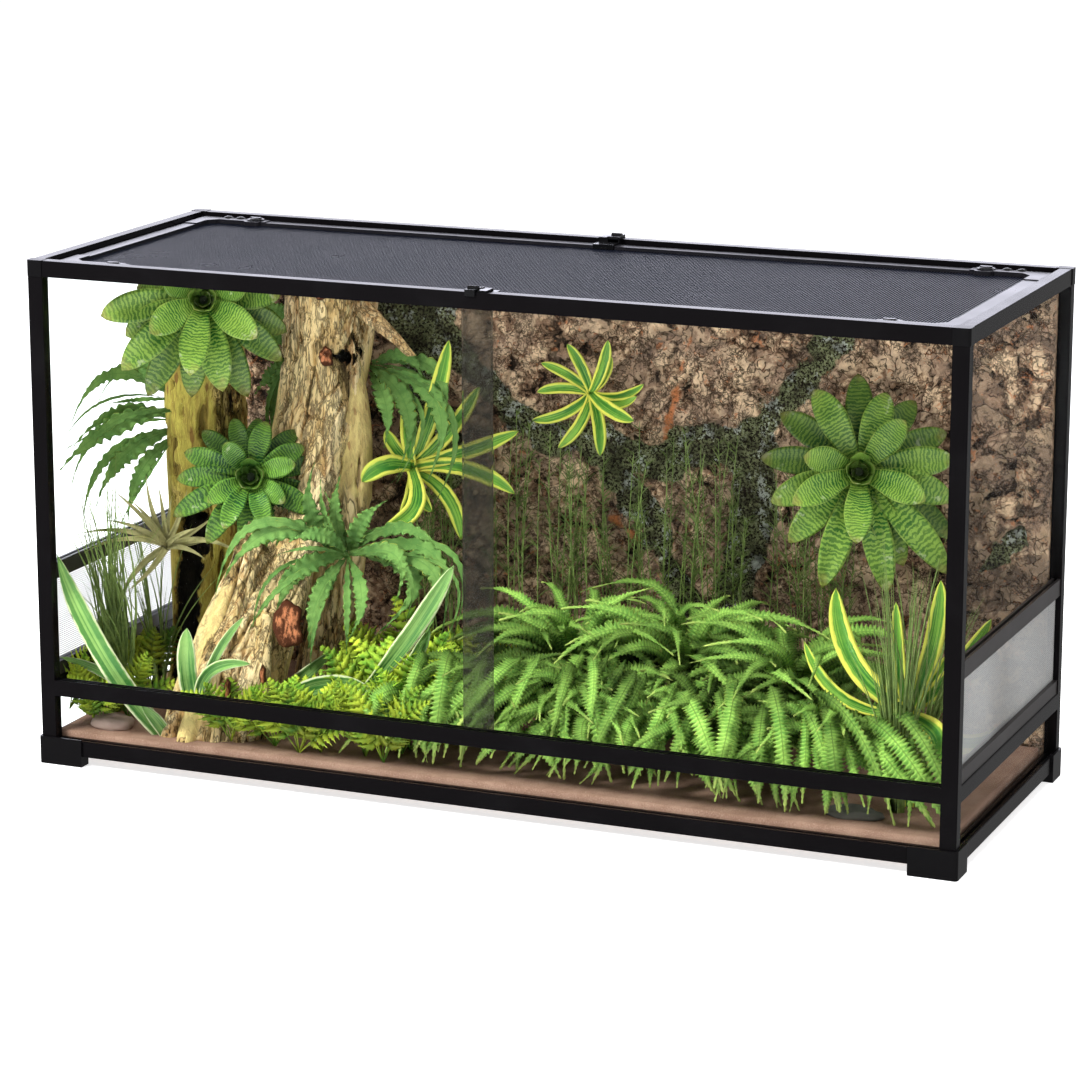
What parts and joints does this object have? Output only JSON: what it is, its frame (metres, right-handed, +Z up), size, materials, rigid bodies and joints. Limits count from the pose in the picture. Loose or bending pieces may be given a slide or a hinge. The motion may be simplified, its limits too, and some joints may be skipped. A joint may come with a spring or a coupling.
{
  "type": "planted reptile terrarium",
  "caption": "Long framed glass reptile terrarium with sliding front doors, side vents, lift-off screen lid, bark wall, trunks and plants.",
  "frame": {"origin": "on the floor at the centre of the footprint", "axes": "+X along the width towards the right as seen from the front, +Y towards the back, +Z up; the sliding doors face -Y"},
  "size_m": [1.2, 0.45, 0.6465],
  "materials": {
    "frame_black": "satin",
    "plastic_black": "satin",
    "vent_brown": "satin",
    "clear_glass": "clear",
    "smoke_strip": "translucent",
    "lid_grey": "satin",
    "screen_black": "fine woven screen",
    "trim_black": "gloss",
    "sand_pink": "fine grains",
    "bark_brown": "cracked bark",
    "trunk_tan": "rough bark",
    "leaf_green": "waxy leaf",
    "leaf_lime": "waxy leaf",
    "leaf_olive": "dull leaf"
  },
  "bodies": {
    "cabinet": {"foot_front_left": "plastic_black", "foot_front_right": "plastic_black", "foot_back_left": "plastic_black", "foot_back_right": "plastic_black", "base_rail_front": "frame_black", "base_rail_back": "frame_black", "base_rail_left": "frame_black", "base_rail_right": "frame_black", "base_panel": "clear_glass", "post_front_left": "frame_black", "post_front_right": "frame_black", "post_back_left": "frame_black", "post_back_right": "frame_black", "top_rail_front": "frame_black", "top_rail_back": "frame_black", "top_rail_left": "frame_black", "top_rail_right": "frame_black", "top_corners": "plastic_black", "door_sill": "frame_black", "door_runners": "plastic_black", "kick_pane_front": "clear_glass", "back_pane": "clear_glass", "kick_pane_left": "clear_glass", "kick_pane_right": "clear_glass", "side_rail_left": "frame_black", "side_rail_right": "frame_black", "vent_frame_left": "vent_brown", "vent_frame_right": "vent_brown", "vent_mesh_left": "vent_brown", "vent_mesh_right": "vent_brown", "side_pane_left": "clear_glass", "side_pane_right": "clear_glass", "substrate": "sand_pink", "bark_wall": "bark_brown", "trunk_upright": "trunk_tan", "trunk_leaning": "trunk_tan", "bromeliad_top": "leaf_green", "bromeliad_middle": "leaf_green", "bromeliad_right": "leaf_green", "striped_rosettes": "leaf_lime", "fern_mound": "leaf_green", "crisp_ferns": "leaf_green", "air_plant": "leaf_olive", "striped_clumps": "leaf_lime", "grasses": "leaf_green", "ground_ferns": "leaf_lime"},
    "left_door": {"door_left": "clear_glass", "door_strip": "smoke_strip"},
    "right_door": {"door_right": "clear_glass"},
    "lid": {"lid_rails": "lid_grey", "lid_corners": "lid_grey", "lid_mesh": "screen_black", "port_plugs": "trim_black", "clip_brackets": "trim_black"},
    "latch_front_left": {"lid_latch_front_left": "trim_black"},
    "latch_front_right": {"lid_latch_front_right": "trim_black"},
    "latch_back_left": {"lid_latch_back_left": "trim_black"},
    "latch_back_right": {"lid_latch_back_right": "trim_black"},
    "clip_front": {"clip_lever_front": "trim_black"},
    "clip_back": {"clip_lever_back": "trim_black"}
  },
  "joints": [
    {"name": "left_door_slide", "type": "slide", "parent": "cabinet", "child": "left_door", "axis": [1, 0, 0], "range_m": [0, 0.55]},
    {"name": "right_door_slide", "type": "slide", "parent": "cabinet", "child": "right_door", "axis": [-1, 0, 0], "range_m": [0, 0.55]},
    {"name": "lid_lift", "type": "slide", "parent": "cabinet", "child": "lid", "axis": [0, 0, 1], "range_m": [0, 0.3]},
    {"name": "latch_turn_front_left", "type": "hinge", "parent": "lid", "child": "latch_front_left", "pos_m": [-0.4945, -0.1915, 0.62], "axis": [0, 0, 1], "range_deg": [0, 90]},
    {"name": "latch_turn_front_right", "type": "hinge", "parent": "lid", "child": "latch_front_right", "pos_m": [0.4945, -0.1915, 0.62], "axis": [0, 0, -1], "range_deg": [0, 90]},
    {"name": "latch_turn_back_left", "type": "hinge", "parent": "lid", "child": "latch_back_left", "pos_m": [-0.4945, 0.1915, 0.62], "axis": [0, 0, -1], "range_deg": [0, 90]},
    {"name": "latch_turn_back_right", "type": "hinge", "parent": "lid", "child": "latch_back_right", "pos_m": [0.4945, 0.1915, 0.62], "axis": [0, 0, 1], "range_deg": [0, 90]},
    {"name": "clip_lever_front", "type": "hinge", "parent": "lid", "child": "clip_front", "pos_m": [0, -0.2015, 0.641], "axis": [-1, 0, 0], "range_deg": [0, 100]},
    {"name": "clip_lever_back", "type": "hinge", "parent": "lid", "child": "clip_back", "pos_m": [0, 0.2015, 0.641], "axis": [1, 0, 0], "range_deg": [0, 100]}
  ]
}
